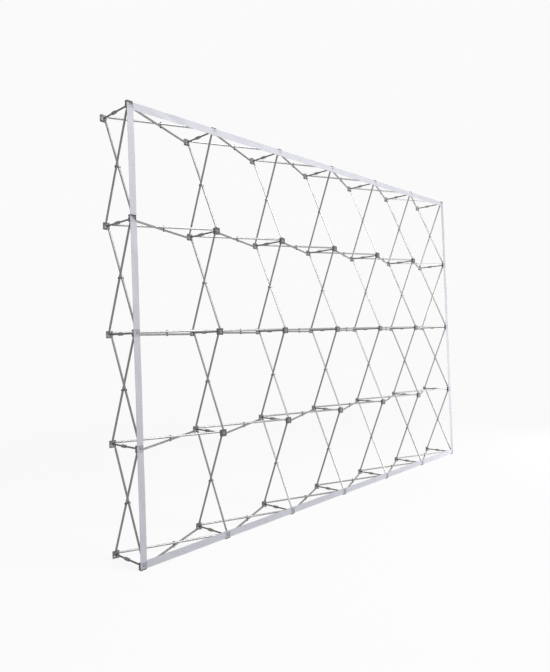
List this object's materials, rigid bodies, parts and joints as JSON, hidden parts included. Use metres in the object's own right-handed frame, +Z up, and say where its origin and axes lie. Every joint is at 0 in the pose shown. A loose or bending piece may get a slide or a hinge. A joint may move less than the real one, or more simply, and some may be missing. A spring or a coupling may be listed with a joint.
{
  "type": "photo backdrop frame",
  "caption": "Straight pop-up backdrop wall of scissor tubes between square hubs, with lock arms and white hook tape round its front, which closes sideways into a bundle.",
  "frame": {"origin": "on the floor, under the middle of the frame's width and depth", "axes": "+Z up, +X to the right seen from the front, -Y towards the taped front"},
  "size_m": [4.55, 0.327, 3.05],
  "materials": {
    "tube": "satin drawn tube",
    "hub": "moulded, fine grain",
    "lock_arm": "moulded, satin",
    "rivet": "dark plated",
    "hook_tape": "woven hook tape"
  },
  "bodies": {
    "front_column_1": {"front_hubs_c1": "hub", "upright_scissors_c1": "tube", "front_lock_arms_c1": "lock_arm", "left_hook_tape": "hook_tape"},
    "rear_column_1": {"rear_hubs_c1": "hub", "rear_lock_arms_c1": "lock_arm"},
    "front_column_2": {"front_hubs_c2": "hub", "upright_scissors_c2": "tube", "front_lock_arms_c2": "lock_arm"},
    "rear_column_2": {"rear_hubs_c2": "hub", "rear_lock_arms_c2": "lock_arm"},
    "front_column_3": {"front_hubs_c3": "hub", "upright_scissors_c3": "tube", "front_lock_arms_c3": "lock_arm"},
    "rear_column_3": {"rear_hubs_c3": "hub", "rear_lock_arms_c3": "lock_arm"},
    "front_column_4": {"front_hubs_c4": "hub", "upright_scissors_c4": "tube", "front_lock_arms_c4": "lock_arm", "top_hook_tape": "hook_tape", "bottom_hook_tape": "hook_tape"},
    "rear_column_4": {"rear_hubs_c4": "hub", "rear_lock_arms_c4": "lock_arm"},
    "front_column_5": {"front_hubs_c5": "hub", "upright_scissors_c5": "tube", "front_lock_arms_c5": "lock_arm"},
    "rear_column_5": {"rear_hubs_c5": "hub", "rear_lock_arms_c5": "lock_arm"},
    "front_column_6": {"front_hubs_c6": "hub", "upright_scissors_c6": "tube", "front_lock_arms_c6": "lock_arm"},
    "rear_column_6": {"rear_hubs_c6": "hub", "rear_lock_arms_c6": "lock_arm"},
    "front_column_7": {"front_hubs_c7": "hub", "upright_scissors_c7": "tube", "front_lock_arms_c7": "lock_arm", "right_hook_tape": "hook_tape"},
    "rear_column_7": {"rear_hubs_c7": "hub", "rear_lock_arms_c7": "lock_arm"},
    "bars_a_1": {"front_to_rear_bars_b1": "tube", "crossing_rivets_b1": "rivet"},
    "bars_b_1": {"rear_to_front_bars_b1": "tube"},
    "bars_a_2": {"front_to_rear_bars_b2": "tube", "crossing_rivets_b2": "rivet"},
    "bars_b_2": {"rear_to_front_bars_b2": "tube"},
    "bars_a_3": {"front_to_rear_bars_b3": "tube", "crossing_rivets_b3": "rivet"},
    "bars_b_3": {"rear_to_front_bars_b3": "tube"},
    "bars_a_4": {"front_to_rear_bars_b4": "tube", "crossing_rivets_b4": "rivet"},
    "bars_b_4": {"rear_to_front_bars_b4": "tube"},
    "bars_a_5": {"front_to_rear_bars_b5": "tube", "crossing_rivets_b5": "rivet"},
    "bars_b_5": {"rear_to_front_bars_b5": "tube"},
    "bars_a_6": {"front_to_rear_bars_b6": "tube", "crossing_rivets_b6": "rivet"},
    "bars_b_6": {"rear_to_front_bars_b6": "tube"}
  },
  "joints": [
    {"name": "fold", "type": "hinge", "parent": "front_column_4", "child": "bars_a_4", "pos_m": [0.017, -0.1455, 1.525], "axis": [0, 0, 1], "range_deg": [0, 66], "deforming": ["top_hook_tape", "bottom_hook_tape"]},
    {"name": "rear_5_on_a_4", "type": "hinge", "parent": "bars_a_4", "child": "rear_column_5", "pos_m": [0.733, 0.1475, 1.525], "axis": [0, 0, 1], "range_deg": [-66, 0]},
    {"name": "cross_4", "type": "hinge", "parent": "bars_a_4", "child": "bars_b_4", "pos_m": [0.375, 0.001, 1.525], "axis": [0, 0, 1], "range_deg": [-132, 0]},
    {"name": "front_5_on_b_4", "type": "hinge", "parent": "bars_b_4", "child": "front_column_5", "pos_m": [0.733, -0.1455, 1.525], "axis": [0, 0, 1], "range_deg": [0, 66]},
    {"name": "rear_4_on_b_4", "type": "hinge", "parent": "bars_b_4", "child": "rear_column_4", "pos_m": [0.017, 0.1475, 1.525], "axis": [0, 0, 1], "range_deg": [0, 66]},
    {"name": "b_5_on_rear_5", "type": "hinge", "parent": "rear_column_5", "child": "bars_b_5", "pos_m": [0.767, 0.1475, 1.525], "axis": [0, 0, 1], "range_deg": [-66, 0]},
    {"name": "front_6_on_b_5", "type": "hinge", "parent": "bars_b_5", "child": "front_column_6", "pos_m": [1.483, -0.1455, 1.525], "axis": [0, 0, 1], "range_deg": [0, 66]},
    {"name": "a_6_on_front_6", "type": "hinge", "parent": "front_column_6", "child": "bars_a_6", "pos_m": [1.517, -0.1455, 1.525], "axis": [0, 0, 1], "range_deg": [0, 66]},
    {"name": "rear_7_on_a_6", "type": "hinge", "parent": "bars_a_6", "child": "rear_column_7", "pos_m": [2.233, 0.1475, 1.525], "axis": [0, 0, 1], "range_deg": [-66, 0]},
    {"name": "a_5_on_front_5", "type": "hinge", "parent": "front_column_5", "child": "bars_a_5", "pos_m": [0.767, -0.1455, 1.525], "axis": [0, 0, 1], "range_deg": [0, 66]},
    {"name": "rear_6_on_a_5", "type": "hinge", "parent": "bars_a_5", "child": "rear_column_6", "pos_m": [1.483, 0.1475, 1.525], "axis": [0, 0, 1], "range_deg": [-66, 0]},
    {"name": "b_6_on_rear_6", "type": "hinge", "parent": "rear_column_6", "child": "bars_b_6", "pos_m": [1.517, 0.1475, 1.525], "axis": [0, 0, 1], "range_deg": [-66, 0]},
    {"name": "front_7_on_b_6", "type": "hinge", "parent": "bars_b_6", "child": "front_column_7", "pos_m": [2.233, -0.1455, 1.525], "axis": [0, 0, 1], "range_deg": [0, 66]},
    {"name": "b_3_on_front_4", "type": "hinge", "parent": "front_column_4", "child": "bars_b_3", "pos_m": [-0.017, -0.1455, 1.525], "axis": [0, 0, 1], "range_deg": [-66, 0]},
    {"name": "rear_3_on_b_3", "type": "hinge", "parent": "bars_b_3", "child": "rear_column_3", "pos_m": [-0.733, 0.1475, 1.525], "axis": [0, 0, 1], "range_deg": [0, 66]},
    {"name": "a_2_on_rear_3", "type": "hinge", "parent": "rear_column_3", "child": "bars_a_2", "pos_m": [-0.767, 0.1475, 1.525], "axis": [0, 0, 1], "range_deg": [0, 66]},
    {"name": "front_2_on_a_2", "type": "hinge", "parent": "bars_a_2", "child": "front_column_2", "pos_m": [-1.483, -0.1455, 1.525], "axis": [0, 0, 1], "range_deg": [-66, 0]},
    {"name": "b_1_on_front_2", "type": "hinge", "parent": "front_column_2", "child": "bars_b_1", "pos_m": [-1.517, -0.1455, 1.525], "axis": [0, 0, 1], "range_deg": [-66, 0]},
    {"name": "rear_1_on_b_1", "type": "hinge", "parent": "bars_b_1", "child": "rear_column_1", "pos_m": [-2.233, 0.1475, 1.525], "axis": [0, 0, 1], "range_deg": [0, 66]},
    {"name": "a_3_on_rear_4", "type": "hinge", "parent": "rear_column_4", "child": "bars_a_3", "pos_m": [-0.017, 0.1475, 1.525], "axis": [0, 0, 1], "range_deg": [0, 66]},
    {"name": "front_3_on_a_3", "type": "hinge", "parent": "bars_a_3", "child": "front_column_3", "pos_m": [-0.733, -0.1455, 1.525], "axis": [0, 0, 1], "range_deg": [-66, 0]},
    {"name": "b_2_on_front_3", "type": "hinge", "parent": "front_column_3", "child": "bars_b_2", "pos_m": [-0.767, -0.1455, 1.525], "axis": [0, 0, 1], "range_deg": [-66, 0]},
    {"name": "rear_2_on_b_2", "type": "hinge", "parent": "bars_b_2", "child": "rear_column_2", "pos_m": [-1.483, 0.1475, 1.525], "axis": [0, 0, 1], "range_deg": [0, 66]},
    {"name": "a_1_on_rear_2", "type": "hinge", "parent": "rear_column_2", "child": "bars_a_1", "pos_m": [-1.517, 0.1475, 1.525], "axis": [0, 0, 1], "range_deg": [0, 66]},
    {"name": "front_1_on_a_1", "type": "hinge", "parent": "bars_a_1", "child": "front_column_1", "pos_m": [-2.233, -0.1455, 1.525], "axis": [0, 0, 1], "range_deg": [-66, 0]}
  ],
  "couplings": [
    {"joint": "rear_5_on_a_4", "follows": "fold", "ratio": -1},
    {"joint": "cross_4", "follows": "fold", "ratio": -2},
    {"joint": "front_5_on_b_4", "follows": "fold", "ratio": 1},
    {"joint": "rear_4_on_b_4", "follows": "fold", "ratio": 1},
    {"joint": "b_5_on_rear_5", "follows": "fold", "ratio": -1},
    {"joint": "front_6_on_b_5", "follows": "fold", "ratio": 1},
    {"joint": "a_6_on_front_6", "follows": "fold", "ratio": 1},
    {"joint": "rear_7_on_a_6", "follows": "fold", "ratio": -1},
    {"joint": "a_5_on_front_5", "follows": "fold", "ratio": 1},
    {"joint": "rear_6_on_a_5", "follows": "fold", "ratio": -1},
    {"joint": "b_6_on_rear_6", "follows": "fold", "ratio": -1},
    {"joint": "front_7_on_b_6", "follows": "fold", "ratio": 1},
    {"joint": "b_3_on_front_4", "follows": "fold", "ratio": -1},
    {"joint": "rear_3_on_b_3", "follows": "fold", "ratio": 1},
    {"joint": "a_2_on_rear_3", "follows": "fold", "ratio": 1},
    {"joint": "front_2_on_a_2", "follows": "fold", "ratio": -1},
    {"joint": "b_1_on_front_2", "follows": "fold", "ratio": -1},
    {"joint": "rear_1_on_b_1", "follows": "fold", "ratio": 1},
    {"joint": "a_3_on_rear_4", "follows": "fold", "ratio": 1},
    {"joint": "front_3_on_a_3", "follows": "fold", "ratio": -1},
    {"joint": "b_2_on_front_3", "follows": "fold", "ratio": -1},
    {"joint": "rear_2_on_b_2", "follows": "fold", "ratio": 1},
    {"joint": "a_1_on_rear_2", "follows": "fold", "ratio": 1},
    {"joint": "front_1_on_a_1", "follows": "fold", "ratio": -1}
  ]
}
